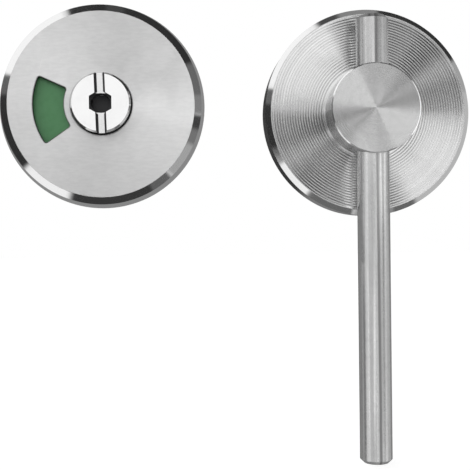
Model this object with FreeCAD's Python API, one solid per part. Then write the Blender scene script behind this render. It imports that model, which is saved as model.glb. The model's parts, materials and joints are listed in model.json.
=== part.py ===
import FreeCAD, Part
import math
import os

# A bathroom turn and release set, in millimetres: the inside half with its thumb turn, and
# beside it the outside half with its indicator and emergency release.
# X runs right, Y into the door and Z up. The door face is the plane Y = 0, and the origin
# is on the axis of the turn. A depth is measured out of the door face towards the user, so
# what has the depth d lies at Y = -d, and what is behind the door face has a negative depth.
# Each half is made about the origin, and the release half is moved to its place at the end.

# Roses, spindle and fixings that both halves share
ROSE_RADIUS = 26.0
FIXING_INSET = 7.0
SPINDLE_ACROSS = 5.0
BOLT_HOLE_RADIUS = 2.15

# Fits: radial clearance of a turning neck, of pieces that stand still on each other, and
# the gap that a turning piece keeps from a fixed one
RUNNING_FIT = 0.05
SEAT_FIT = 0.05
TURNING_GAP = 0.3

# Inside rose: cover and base plate
TURN_ROSE_DEPTH = 8.0
TURN_COVER_PLATE = 1.4
TURN_COVER_WALL = 1.2
TURN_CHAMFER_WIDTH = 1.3
TURN_CHAMFER_DEPTH = 1.1
TURN_FLOOR = 2.0

# Turn: hub with its neck, lever bar and what holds them
HUB_RADIUS = 11.0
HUB_WALL = 0.4
HUB_GAP = 0.25
HUB_RIM = 0.3
TURN_NECK_RADIUS = 7.0
NECK_HOLE_GAP = 0.5
LEVER_RADIUS = 4.0
LEVER_BELOW = 87.0
LEVER_ABOVE = 23.0
LEVER_CHAMFER = 0.9
SCREW_RADIUS = 2.0
SCREW_LENGTH = 3.6
SCREW_KEY_ACROSS = 2.0
SCREW_KEY_DEPTH = 1.6
SPINDLE_LENGTH = 65.0
SPINDLE_CHAMFER = 0.5
PIN_RADIUS = 1.0
PIN_FROM_END = 3.0
PIN_INSET = 0.3

# Bush of the turn
TURN_BUSH_WALL = 1.5

# Spring washers and circlips behind the two halves
BEHIND_MARGIN = 0.05
SPRING_CLEARANCE = 0.4
SPRING_THICKNESS = 0.3
TURN_SPRING_HEIGHT = 1.0
RELEASE_SPRING_HEIGHT = 0.9
CIRCLIP_THICKNESS = 1.0
CIRCLIP_SEAT = 1.0
CIRCLIP_SHORTER = 2.0
GROOVE_CLEARANCE = 0.03
NECK_TAIL = 1.3

# Outside rose: bevelled cover with its window, and its base plate
RELEASE_X = -67.0
RELEASE_Z = 2.7
RELEASE_ROSE_DEPTH = 5.0
RELEASE_SIDE_FLARE = 0.9
RELEASE_BEVEL_WIDTH = 1.8
RELEASE_BEVEL_DEPTH = 1.0
RELEASE_COVER_PLATE = 1.2
RELEASE_COVER_WALL = 1.0
WINDOW_BRIDGE = 1.95
WINDOW_MARGIN = 6.3
WINDOW_SPAN = 59.5
WINDOW_CORNER = 0.6
COVER_TURN = 5.3
HEAD_GAP = 0.2

# Release: boss with coin slot and hexagon, its neck, and the indicator
BOSS_RADIUS = 7.5
BOSS_PROUD = 3.3
BOSS_EDGE = 0.42
SLOT_WIDTH = 2.65
SLOT_FLOOR_WIDTH = 1.45
SLOT_DEPTH = 1.4
SLOT_LEAN = 1.7
HEXAGON_ACROSS = 5.5
HEXAGON_DEPTH = 1.5
BOSS_BORE_RADIUS = 2.45
BOSS_BORE_DEPTH = 5.3
RELEASE_NECK_RADIUS = 6.0
SOCKET_DEPTH = 9.0
SOCKET_CLEARANCE = 0.1
RELEASE_BUSH_WALL = 1.4
RELEASE_BUSH_TAIL = 4.0
RELEASE_FLANGE_WIDTH = 2.15
RELEASE_FLANGE_THICKNESS = 0.75
DISC_SEAT_STEP = 1.0
DISC_SEAT_FLAT = 0.8
DISC_GAP = 0.65
DISC_MARGIN = 1.6
DISC_THICKNESS = 0.6
FIELD_INNER_MARGIN = 1.05
FIELD_OUTER_MARGIN = 0.4
FIELD_THICKNESS = 0.1
FIELD_GAP = 6.0
GREEN_SPAN = 84.0
GREEN_CENTRES = (180.0,)
RED_CENTRES = (90.0, 270.0)

# Tapped posts that take the fixing bolts
POST_RADIUS = 3.75
POST_LENGTH = 22.0
POST_TAP_RADIUS = 1.65
POST_TAP_LENGTH = 18.0

# Radii and depths that follow from the sizes above
FIXING_RADIUS = ROSE_RADIUS - FIXING_INSET
TURN_COVER_INSIDE = TURN_ROSE_DEPTH - TURN_COVER_PLATE
TURN_INSIDE_RADIUS = ROSE_RADIUS - TURN_COVER_WALL
TURN_FACE_RADIUS = ROSE_RADIUS - TURN_CHAMFER_WIDTH
TURN_SLEEVE_RADIUS = TURN_NECK_RADIUS + RUNNING_FIT + TURN_BUSH_WALL
HUB_LENGTH = 2 * (LEVER_RADIUS + SEAT_FIT + HUB_WALL)
HUB_BACK = TURN_ROSE_DEPTH + HUB_GAP
HUB_FRONT = HUB_BACK + HUB_LENGTH
LEVER_DEPTH = HUB_BACK + HUB_LENGTH / 2
LEVER_BACK = LEVER_DEPTH - LEVER_RADIUS
SPINDLE_FRONT = LEVER_BACK - SCREW_LENGTH - 2 * SEAT_FIT
PIN_DEPTH = SPINDLE_FRONT - PIN_FROM_END
TURN_CLIP_FRONT = -TURN_SPRING_HEIGHT - TURNING_GAP
TURN_NECK_END = TURN_CLIP_FRONT - CIRCLIP_THICKNESS - NECK_TAIL

RELEASE_SHOULDER_RADIUS = ROSE_RADIUS - RELEASE_SIDE_FLARE
RELEASE_FACE_RADIUS = RELEASE_SHOULDER_RADIUS - RELEASE_BEVEL_WIDTH
RELEASE_INSIDE = RELEASE_ROSE_DEPTH - RELEASE_COVER_PLATE
RELEASE_INSIDE_RADIUS = RELEASE_SHOULDER_RADIUS - RELEASE_COVER_WALL
WINDOW_INNER_RADIUS = BOSS_RADIUS + WINDOW_BRIDGE
WINDOW_OUTER_RADIUS = RELEASE_FACE_RADIUS - WINDOW_MARGIN
DISC_RADIUS = WINDOW_OUTER_RADIUS + DISC_MARGIN
DISC_FRONT = RELEASE_INSIDE - DISC_GAP
DISC_BACK = DISC_FRONT - DISC_THICKNESS
DISC_SEAT_RADIUS = RELEASE_NECK_RADIUS + DISC_SEAT_STEP
DISC_SEAT_ACROSS = 2 * (DISC_SEAT_RADIUS - DISC_SEAT_FLAT)
FIELD_INNER_RADIUS = WINDOW_INNER_RADIUS - FIELD_INNER_MARGIN
FIELD_OUTER_RADIUS = DISC_RADIUS - FIELD_OUTER_MARGIN
RED_SPAN = 180 - GREEN_SPAN - 2 * FIELD_GAP
RELEASE_BUSH_FRONT = DISC_BACK - TURNING_GAP
RELEASE_FLOOR = RELEASE_BUSH_FRONT - RELEASE_FLANGE_THICKNESS
RELEASE_SLEEVE_RADIUS = RELEASE_NECK_RADIUS + RUNNING_FIT + RELEASE_BUSH_WALL
RELEASE_FLANGE_RADIUS = RELEASE_SLEEVE_RADIUS + RELEASE_FLANGE_WIDTH
BOSS_FRONT = RELEASE_ROSE_DEPTH + BOSS_PROUD
RELEASE_CLIP_FRONT = -RELEASE_BUSH_TAIL - RELEASE_SPRING_HEIGHT - TURNING_GAP
RELEASE_NECK_END = RELEASE_CLIP_FRONT - CIRCLIP_THICKNESS - NECK_TAIL

ORIGIN = FreeCAD.Vector(0, 0, 0)
INTO_DOOR = FreeCAD.Vector(0, 1, 0)
UP = FreeCAD.Vector(0, 0, 1)
ACROSS = FreeCAD.Vector(1, 0, 0)


def place(x, depth, z):
    """The point at a depth out of the door face."""
    return FreeCAD.Vector(x, -depth, z)


def around(radius, degrees, depth):
    """The point at an angle, counter-clockwise from +X as the user sees it."""
    angle = math.radians(degrees)
    return place(radius * math.cos(angle), depth, radius * math.sin(angle))


def turned(outline):
    """The solid turned about the axis from (radius, depth) corners."""
    corners = [place(radius, depth, 0) for radius, depth in outline]
    face = Part.Face(Part.makePolygon(corners + corners[:1]))
    solid = face.revolve(ORIGIN, INTO_DOOR, 360)
    return solid if solid.Volume > 0 else solid.reversed()


def cylinder(radius, low, high, x=0.0, z=0.0):
    """A cylinder along the axis's direction between two depths."""
    return Part.makeCylinder(radius, high - low, place(x, high, z), INTO_DOOR)


def ring(inner, outer, low, high):
    """A flat ring between two depths."""
    return turned([(inner, low), (outer, low), (outer, high), (inner, high)])


def square_bar(across, low, high):
    """A square bar on the axis between two depths."""
    corner = place(-across / 2, high, -across / 2)
    return Part.makeBox(across, high - low, across, corner)


def hexagon_bar(across, low, high):
    """A hexagonal bar on the axis, with flats at its left and right."""
    corners = [around(across / math.sqrt(3), 30 + 60 * k, high) for k in range(7)]
    return Part.Face(Part.makePolygon(corners)).extrude(INTO_DOOR * (high - low))


def two_flats(radius, across, low, high):
    """A round bar with two flats, above and below the axis."""
    slab = Part.makeBox(2 * radius, high - low, across, place(-radius, high, -across / 2))
    return cylinder(radius, low, high).common(slab)


def sector(inner, outer, centre, span, low, high):
    """A sector of a ring between two depths, about the angle of its centre."""
    start = centre - span / 2
    end = centre + span / 2
    rim = Part.Arc(around(outer, start, high), around(outer, centre, high), around(outer, end, high))
    bore = Part.Arc(around(inner, end, high), around(inner, centre, high), around(inner, start, high))
    edges = [
        rim.toShape(),
        Part.makeLine(around(outer, end, high), around(inner, end, high)),
        bore.toShape(),
        Part.makeLine(around(inner, start, high), around(outer, start, high)),
    ]
    return Part.Face(Part.Wire(edges)).extrude(INTO_DOOR * (high - low))


def spun(solid, degrees):
    """The solid turned counter-clockwise about the axis, as the user sees it."""
    copy = solid.copy()
    copy.rotate(ORIGIN, INTO_DOOR, -degrees)
    return copy


def edges_along(solid, direction):
    """The straight edges of a solid that run along a direction."""
    found = []
    for edge in solid.Edges:
        if isinstance(edge.Curve, Part.Line):
            if abs(edge.tangentAt(edge.FirstParameter).dot(direction)) > 0.999:
                found.append(edge)
    return found


def turn_rose_cover():
    """The inside cover: a turned cup with a chamfered rim."""
    hole = TURN_NECK_RADIUS + NECK_HOLE_GAP
    return turned([
        (ROSE_RADIUS, 0),
        (ROSE_RADIUS, TURN_ROSE_DEPTH - TURN_CHAMFER_DEPTH),
        (TURN_FACE_RADIUS, TURN_ROSE_DEPTH),
        (hole, TURN_ROSE_DEPTH),
        (hole, TURN_COVER_INSIDE),
        (TURN_INSIDE_RADIUS, TURN_COVER_INSIDE),
        (TURN_INSIDE_RADIUS, 0),
    ])


def base_plate(rim, bore, floor):
    """A flat base plate, bored for its bush."""
    return turned([(bore, 0), (rim, 0), (rim, floor), (bore, floor)])


def turn_base_plate():
    """The inside base plate, drilled for the two fixing bolts."""
    plate = base_plate(TURN_INSIDE_RADIUS - SEAT_FIT, TURN_SLEEVE_RADIUS + SEAT_FIT, TURN_FLOOR)
    for x in (-FIXING_RADIUS, FIXING_RADIUS):
        plate = plate.cut(cylinder(BOLT_HOLE_RADIUS, 0, TURN_FLOOR, x))
    return plate


def turn_bush():
    """The bush of the turn: a sleeve from the door face up to the inside of the cover."""
    return ring(TURN_NECK_RADIUS + RUNNING_FIT, TURN_SLEEVE_RADIUS, 0, TURN_COVER_INSIDE)


def clip_slots(neck, front):
    """The cutters of the two side slots of a neck that a circlip sits in."""
    flat = neck - CIRCLIP_SEAT
    width = CIRCLIP_THICKNESS + 2 * GROOVE_CLEARANCE
    slots = []
    for x in (flat, -flat - 2 * CIRCLIP_SEAT):
        corner = place(x, front + GROOVE_CLEARANCE, -2 * neck)
        slots.append(Part.makeBox(2 * CIRCLIP_SEAT, width, 4 * neck, corner))
    return slots


def pin_hole():
    """The cutter of the pin's hole, through the neck and the spindle."""
    reach = 2 * TURN_NECK_RADIUS
    return Part.makeCylinder(PIN_RADIUS + GROOVE_CLEARANCE, 2 * reach, place(-reach, PIN_DEPTH, 0), ACROSS)


def turn_hub():
    """The head of the turn with its neck, bored across for the lever and squared for the spindle."""
    hub = turned([
        (0, TURN_NECK_END),
        (TURN_NECK_RADIUS, TURN_NECK_END),
        (TURN_NECK_RADIUS, HUB_BACK),
        (HUB_RADIUS, HUB_BACK),
        (HUB_RADIUS, HUB_FRONT - HUB_RIM),
        (HUB_RADIUS - HUB_RIM, HUB_FRONT),
        (0, HUB_FRONT),
    ])
    reach = 2 * HUB_RADIUS
    bore = Part.makeCylinder(LEVER_RADIUS + SEAT_FIT, 2 * reach, place(0, LEVER_DEPTH, -reach), UP)
    socket = square_bar(SPINDLE_ACROSS + 2 * SEAT_FIT, TURN_NECK_END, SPINDLE_FRONT)
    tapping = cylinder(SCREW_RADIUS + GROOVE_CLEARANCE, SPINDLE_FRONT, LEVER_DEPTH)
    for cutter in [bore, socket, tapping, pin_hole()] + clip_slots(TURN_NECK_RADIUS, TURN_CLIP_FRONT):
        hub = hub.cut(cutter)
    return hub


def turn_lever():
    """The lever: a round bar with chamfered ends."""
    bar = Part.makeCylinder(LEVER_RADIUS, LEVER_BELOW + LEVER_ABOVE, place(0, LEVER_DEPTH, -LEVER_BELOW), UP)
    ends = [edge for edge in bar.Edges if isinstance(edge.Curve, Part.Circle)]
    return bar.makeChamfer(LEVER_CHAMFER, ends)


def lever_screw():
    """The grub screw that clamps the lever, turned from the spindle's socket."""
    back = SPINDLE_FRONT + SEAT_FIT
    body = cylinder(SCREW_RADIUS, back, back + SCREW_LENGTH)
    return body.cut(hexagon_bar(SCREW_KEY_ACROSS, back, back + SCREW_KEY_DEPTH))


def spindle():
    """The square spindle, pinned in the neck and running back through the door."""
    front = SPINDLE_FRONT - SEAT_FIT
    bar = square_bar(SPINDLE_ACROSS, front - SPINDLE_LENGTH, front)
    bar = bar.makeChamfer(SPINDLE_CHAMFER, edges_along(bar, INTO_DOOR))
    return bar.cut(pin_hole())


def spindle_pin():
    """The pin across the neck and the spindle."""
    half = TURN_NECK_RADIUS - PIN_INSET
    return Part.makeCylinder(PIN_RADIUS, 2 * half, place(-half, PIN_DEPTH, 0), ACROSS)


def spring_washer(neck, sleeve, height, front):
    """A curved spring washer whose middle touches the end of the sleeve in front of it."""
    inner = neck + SPRING_CLEARANCE
    outer = sleeve - BEHIND_MARGIN
    rise = height - SPRING_THICKNESS
    bend = (outer**2 + rise**2) / (2 * rise)
    middle = place(0, front - SPRING_THICKNESS - bend, 0)
    drum = Part.makeCylinder(bend + SPRING_THICKNESS, 2 * outer, middle - ACROSS * outer, ACROSS)
    core = Part.makeCylinder(bend, 2 * outer, middle - ACROSS * outer, ACROSS)
    blank = ring(inner, outer, front - height, front)
    return blank.common(drum).cut(core)


def circlip(neck, sleeve, front):
    """A horseshoe circlip in the side slots of a neck, open at the bottom."""
    back = front - CIRCLIP_THICKNESS
    mouth = 2 * (neck - CIRCLIP_SEAT + GROOVE_CLEARANCE)
    clip = cylinder(sleeve - BEHIND_MARGIN, back, front)
    clip = clip.cut(spun(two_flats(neck + GROOVE_CLEARANCE, mouth, back, front), 90))
    clip = clip.cut(Part.makeBox(mouth, CIRCLIP_THICKNESS, 2 * sleeve, place(-mouth / 2, front, -2 * sleeve)))
    corner = place(-sleeve, front, CIRCLIP_SHORTER - neck - 2 * sleeve)
    return clip.cut(Part.makeBox(2 * sleeve, CIRCLIP_THICKNESS, 2 * sleeve, corner))


def release_rose_cover():
    """The outside cover: a thin cup with a wide bevel, flared side, centre hole and window."""
    hole = BOSS_RADIUS + HEAD_GAP
    outline = [(ROSE_RADIUS, 0), (RELEASE_SHOULDER_RADIUS, RELEASE_ROSE_DEPTH - RELEASE_BEVEL_DEPTH)]
    outline += [(RELEASE_FACE_RADIUS, RELEASE_ROSE_DEPTH), (hole, RELEASE_ROSE_DEPTH)]
    outline += [(hole, RELEASE_INSIDE), (RELEASE_INSIDE_RADIUS, RELEASE_INSIDE), (RELEASE_INSIDE_RADIUS, 0)]
    cover = turned(outline)
    window = sector(
        WINDOW_INNER_RADIUS, WINDOW_OUTER_RADIUS, 180, WINDOW_SPAN, RELEASE_INSIDE, RELEASE_ROSE_DEPTH
    )
    window = window.makeFillet(WINDOW_CORNER, edges_along(window, INTO_DOOR))
    return cover.cut(spun(window, COVER_TURN))


def release_base_plate():
    """The outside base plate, which carries the posts."""
    return base_plate(RELEASE_INSIDE_RADIUS - SEAT_FIT, RELEASE_SLEEVE_RADIUS + SEAT_FIT, RELEASE_FLOOR)


def release_bush():
    """The bush of the release: a sleeve through the base plate with a flange in front of it."""
    bore = RELEASE_NECK_RADIUS + RUNNING_FIT
    return turned([
        (bore, -RELEASE_BUSH_TAIL),
        (RELEASE_SLEEVE_RADIUS, -RELEASE_BUSH_TAIL),
        (RELEASE_SLEEVE_RADIUS, RELEASE_FLOOR),
        (RELEASE_FLANGE_RADIUS, RELEASE_FLOOR),
        (RELEASE_FLANGE_RADIUS, RELEASE_BUSH_FRONT),
        (bore, RELEASE_BUSH_FRONT),
    ])


def coin_slot():
    """The slot's cutter: a trough with sloping sides across the boss."""
    floor = BOSS_FRONT - SLOT_DEPTH
    bottom = -2 * BOSS_RADIUS
    corners = [
        place(-SLOT_WIDTH / 2, BOSS_FRONT, bottom),
        place(SLOT_WIDTH / 2, BOSS_FRONT, bottom),
        place(SLOT_FLOOR_WIDTH / 2, floor, bottom),
        place(-SLOT_FLOOR_WIDTH / 2, floor, bottom),
    ]
    trough = Part.Face(Part.makePolygon(corners + corners[:1])).extrude(UP * 4 * BOSS_RADIUS)
    return spun(trough, SLOT_LEAN)


def release_boss():
    """The release's head and neck: coin slot and hexagon in front, square socket behind."""
    end = RELEASE_NECK_END
    boss = turned([
        (0, end),
        (RELEASE_NECK_RADIUS, end),
        (RELEASE_NECK_RADIUS, DISC_FRONT),
        (BOSS_RADIUS, DISC_FRONT),
        (BOSS_RADIUS, BOSS_FRONT - BOSS_EDGE),
        (BOSS_RADIUS - BOSS_EDGE, BOSS_FRONT),
        (0, BOSS_FRONT),
    ])
    boss = boss.fuse(two_flats(DISC_SEAT_RADIUS, DISC_SEAT_ACROSS, DISC_BACK, DISC_FRONT))
    hexagon = hexagon_bar(HEXAGON_ACROSS, BOSS_FRONT - HEXAGON_DEPTH, BOSS_FRONT)
    bore = cylinder(BOSS_BORE_RADIUS, BOSS_FRONT - BOSS_BORE_DEPTH, BOSS_FRONT)
    socket = square_bar(SPINDLE_ACROSS + 2 * SOCKET_CLEARANCE, end, end + SOCKET_DEPTH)
    slots = clip_slots(RELEASE_NECK_RADIUS, RELEASE_CLIP_FRONT)
    for cutter in [coin_slot(), hexagon, bore, socket] + slots:
        boss = boss.cut(cutter)
    return boss.removeSplitter()


def indicator_disc():
    """The disc behind the window, driven by the two flats of the boss."""
    disc = cylinder(DISC_RADIUS, DISC_BACK, DISC_FRONT)
    seat = two_flats(
        DISC_SEAT_RADIUS + SEAT_FIT, DISC_SEAT_ACROSS + 2 * SEAT_FIT, DISC_BACK, DISC_FRONT
    )
    return disc.cut(seat)


def fields(centres, span):
    """The coloured fields on the front of the disc at the angles of their centres."""
    low = DISC_FRONT
    high = DISC_FRONT + FIELD_THICKNESS
    parts = [sector(FIELD_INNER_RADIUS, FIELD_OUTER_RADIUS, c, span, low, high) for c in centres]
    return Part.makeCompound(parts)


def fixing_posts():
    """Two tapped posts on the back of the outside base plate."""
    posts = []
    for x in (-FIXING_RADIUS, FIXING_RADIUS):
        post = cylinder(POST_RADIUS, -POST_LENGTH, 0, x)
        posts.append(post.cut(cylinder(POST_TAP_RADIUS, -POST_LENGTH, POST_TAP_LENGTH - POST_LENGTH, x)))
    return Part.makeCompound(posts)


def inside_half():
    """The pieces of the inside half by name."""
    return {
        "turn_rose_cover": turn_rose_cover(),
        "turn_base_plate": turn_base_plate(),
        "turn_bush": turn_bush(),
        "turn_hub": turn_hub(),
        "turn_lever": turn_lever(),
        "lever_screw": lever_screw(),
        "spindle": spindle(),
        "spindle_pin": spindle_pin(),
        "turn_spring_washer": spring_washer(TURN_NECK_RADIUS, TURN_SLEEVE_RADIUS, TURN_SPRING_HEIGHT, 0),
        "turn_circlip": circlip(TURN_NECK_RADIUS, TURN_SLEEVE_RADIUS, TURN_CLIP_FRONT),
    }


def outside_half():
    """The pieces of the outside half by name, made about the origin."""
    return {
        "release_rose_cover": release_rose_cover(),
        "release_base_plate": release_base_plate(),
        "release_bush": release_bush(),
        "release_boss": release_boss(),
        "indicator_disc": indicator_disc(),
        "green_field": fields(GREEN_CENTRES, GREEN_SPAN),
        "red_field": fields(RED_CENTRES, RED_SPAN),
        "release_spring_washer": spring_washer(
            RELEASE_NECK_RADIUS, RELEASE_SLEEVE_RADIUS, RELEASE_SPRING_HEIGHT, -RELEASE_BUSH_TAIL
        ),
        "release_circlip": circlip(RELEASE_NECK_RADIUS, RELEASE_SLEEVE_RADIUS, RELEASE_CLIP_FRONT),
        "fixing_posts": fixing_posts(),
    }


def main():
    """Writes each piece to its own file."""
    os.makedirs("parts", exist_ok=True)
    pieces = inside_half()
    for name, shape in outside_half().items():
        shape.translate(FreeCAD.Vector(RELEASE_X, 0, RELEASE_Z))
        pieces[name] = shape
    for name, shape in pieces.items():
        shape.exportStep(os.path.join("parts", name + ".step"))
        print(name, len(shape.Solids), shape.isValid(), round(shape.Volume, 2))


main()
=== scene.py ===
"""Bathroom turn and release lock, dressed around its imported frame.

Two halves lie side by side: the inside half with its long bar lever on a rose turned with
rings, and the outside half with its indicator window, coin slot and polished bevel.
Lengths are metres in the frame's axes: X right, Y into the door, Z up. The profiles and the
sizes of the two halves are in millimetres.
"""

import json
import logging
import math
from collections.abc import Callable
from dataclasses import dataclass, field
from enum import Enum

import bmesh
import bpy
from mathutils import Matrix, Vector

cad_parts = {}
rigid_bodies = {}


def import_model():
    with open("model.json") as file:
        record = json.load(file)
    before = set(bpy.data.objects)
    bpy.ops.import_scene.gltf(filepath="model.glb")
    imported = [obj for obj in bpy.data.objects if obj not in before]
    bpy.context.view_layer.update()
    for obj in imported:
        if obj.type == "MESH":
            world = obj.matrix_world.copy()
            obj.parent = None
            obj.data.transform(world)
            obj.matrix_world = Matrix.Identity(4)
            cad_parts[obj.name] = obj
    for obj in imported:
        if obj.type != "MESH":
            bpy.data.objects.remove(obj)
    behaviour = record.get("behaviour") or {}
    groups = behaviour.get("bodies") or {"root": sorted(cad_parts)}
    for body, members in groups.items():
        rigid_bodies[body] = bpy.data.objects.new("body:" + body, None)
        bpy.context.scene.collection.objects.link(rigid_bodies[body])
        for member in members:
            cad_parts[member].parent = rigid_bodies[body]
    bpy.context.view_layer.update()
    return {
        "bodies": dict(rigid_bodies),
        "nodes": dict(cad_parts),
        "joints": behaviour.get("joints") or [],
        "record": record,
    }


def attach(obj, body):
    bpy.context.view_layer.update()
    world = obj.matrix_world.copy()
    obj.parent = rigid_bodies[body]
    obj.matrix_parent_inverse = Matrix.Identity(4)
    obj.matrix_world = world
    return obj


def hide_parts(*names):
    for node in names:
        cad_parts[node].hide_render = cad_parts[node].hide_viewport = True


log = logging.getLogger("turn_and_release")

Colour = tuple[float, float, float]
Place = tuple[float, float, float]
Socket = bpy.types.NodeSocket

MM = 0.001
PER_METRE = 1000.0
WELD = 1e-7
SOFT_NORMALS = math.radians(0.05)
WHITE = (1.0, 1.0, 1.0, 1.0)

# Layout of the node trees
COLUMNS = 12
COLUMN = 200
ROW = 260

# How the finishes are mixed
BROAD_SHARE = 0.09
MARKS_SPAN = (0.25, 0.75)
WORN_GAIN, WORN_LIFT = 1.25, 0.05
SMEAR_SHADE, SMEAR_ROUGHNESS = 0.8, 0.6
STREAK_SHADE = 0.4
RIM_BLEND = 0.00008
QUARTER_TURN = 0.25

# The painted dark reflection band along the bar: degrees from the front to the right, and radians
BAR_RADIUS = 4.0
PAINTED_BAND_CORE = (5.7, 3.1)
PAINTED_BAND_BESIDE = (14.5, 8.0)
PAINTED_BAND_START = (0.8, 1.4)
PAINTED_BAND_BESIDE_SHARE = 0.55
PAINTED_BAND_WAVER = 0.04
PAINTED_BAND_LEAN, PAINTED_BAND_MIDDLE = -0.65, 0.051

# How a normal's Y tells a level face, and how much painted shade falls on faces of the boss, the window
# and the hole
LEVEL, NEARLY_LEVEL = -0.99, -0.9
BORE_SHADE, LIT_BORE_SHADE = 1.0, 0.7
SLOT_FLOOR_SHADE, SLOT_SIDE_SHADE = 0.12, 0.97
WALL_SHADE, HOLE_SHARE = 1.2, 0.4


class Lay(Enum):
    """Which way a tool's marks run over a surface."""

    TURNED = "rings about the axis"
    DRAWN = "lines along the bar"
    PLAIN = "no direction"


class Graph:
    """A node tree with short calls that add, place and link its nodes."""

    def __init__(self, tree: bpy.types.NodeTree) -> None:
        """Takes the tree and clears it.

        Args:
            tree: The node tree of a material, a world or a group.
        """
        self.tree = tree
        self.tree.nodes.clear()
        self.count = 0

    def add(self, kind: str, inputs: dict | None = None, **settings: object) -> bpy.types.Node:
        """Adds a node.

        Args:
            kind: The node's class name.
            inputs: Values or output sockets by input name or number.
            **settings: The node's own properties.

        Returns:
            The new node.
        """
        node = self.tree.nodes.new(kind)
        node.location = (COLUMN * (self.count % COLUMNS), -ROW * (self.count // COLUMNS))
        self.count += 1
        for name, value in settings.items():
            setattr(node, name, value)
        self.feed(node, inputs or {})
        return node

    def feed(self, node: bpy.types.Node, inputs: dict) -> None:
        """Gives a node's inputs their values and links.

        Args:
            node: The node.
            inputs: Values or output sockets by input name or number.
        """
        for name, value in inputs.items():
            if isinstance(value, Socket):
                self.tree.links.new(value, node.inputs[name])
            else:
                node.inputs[name].default_value = value

    def math(self, operation: str, a: object, b: object = 0.0, c: object = 0.0) -> Socket:
        """A Math node's result."""
        return self.add("ShaderNodeMath", {0: a, 1: b, 2: c}, operation=operation).outputs[0]

    def vector(self, operation: str, a: object, b: object = (0.0, 0.0, 0.0)) -> Socket:
        """A Vector Math node's result, which is a number for a length or a dot product."""
        kind = "Value" if operation in ("LENGTH", "DOT_PRODUCT") else "Vector"
        return self.add("ShaderNodeVectorMath", {0: a, 1: b}, operation=operation).outputs[kind]

    def split(self, vector: Socket) -> tuple[Socket, ...]:
        """The X, Y and Z of a vector."""
        return tuple(self.add("ShaderNodeSeparateXYZ", {0: vector}).outputs)

    def join(self, x: object = 0.0, y: object = 0.0, z: object = 0.0) -> Socket:
        """The vector of an X, a Y and a Z."""
        return self.add("ShaderNodeCombineXYZ", {0: x, 1: y, 2: z}).outputs[0]

    def noise(
        self, place: Socket, scale: float = 1.0, detail: float = 2.0, space: str = "3D", **more: float
    ) -> Socket:
        """A noise texture's value at a place, which is a number in 1D."""
        inputs = {"W" if space == "1D" else "Vector": place, "Scale": scale, "Detail": detail, **more}
        return self.add("ShaderNodeTexNoise", inputs, noise_dimensions=space).outputs[0]

    def ramp(self, value: object, low: float, high: float, start: float = 0.0, end: float = 1.0) -> Socket:
        """A smooth Map Range from low and high to start and end."""
        inputs = {0: value, 1: low, 2: high, 3: start, 4: end}
        return self.add("ShaderNodeMapRange", inputs, interpolation_type="SMOOTHSTEP").outputs[0]

    def fade(self, angle: Socket, degrees: tuple[float, float]) -> Socket:
        """A smooth rise from the first of two angles in degrees to the second."""
        return self.ramp(angle, math.radians(degrees[0]), math.radians(degrees[1]))

    def blend(self, factor: Socket, a: object, b: object) -> Socket:
        """A Mix node's colour, from the first colour to the second."""
        a, b = (side if isinstance(side, Socket) else (*side, 1.0) for side in (a, b))
        return self.add("ShaderNodeMix", {0: factor, 6: a, 7: b}, data_type="RGBA").outputs[2]


class Group(Graph):
    """A shader node group in the making."""

    def __init__(self, name: str, inputs: dict[str, float | None], outputs: tuple[str, ...]) -> None:
        """Starts the group with named sockets.

        Args:
            name: The group's name.
            inputs: Its inputs with their defaults, where None is a vector.
            outputs: The names of its number outputs.
        """
        tree = bpy.data.node_groups.new(name, "ShaderNodeTree")
        for label, value in inputs.items():
            kind = "NodeSocketVector" if value is None else "NodeSocketFloat"
            socket = tree.interface.new_socket(label, in_out="INPUT", socket_type=kind)
            if value is not None:
                socket.default_value = value
        for label in outputs:
            tree.interface.new_socket(label, in_out="OUTPUT", socket_type="NodeSocketFloat")
        super().__init__(tree)
        self.given = self.add("NodeGroupInput").outputs
        self.end = self.add("NodeGroupOutput")

    def finish(self, results: dict[str, Socket]) -> bpy.types.NodeTree:
        """Links the outputs by name, and returns the group."""
        self.feed(self.end, results)
        return self.tree


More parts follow.
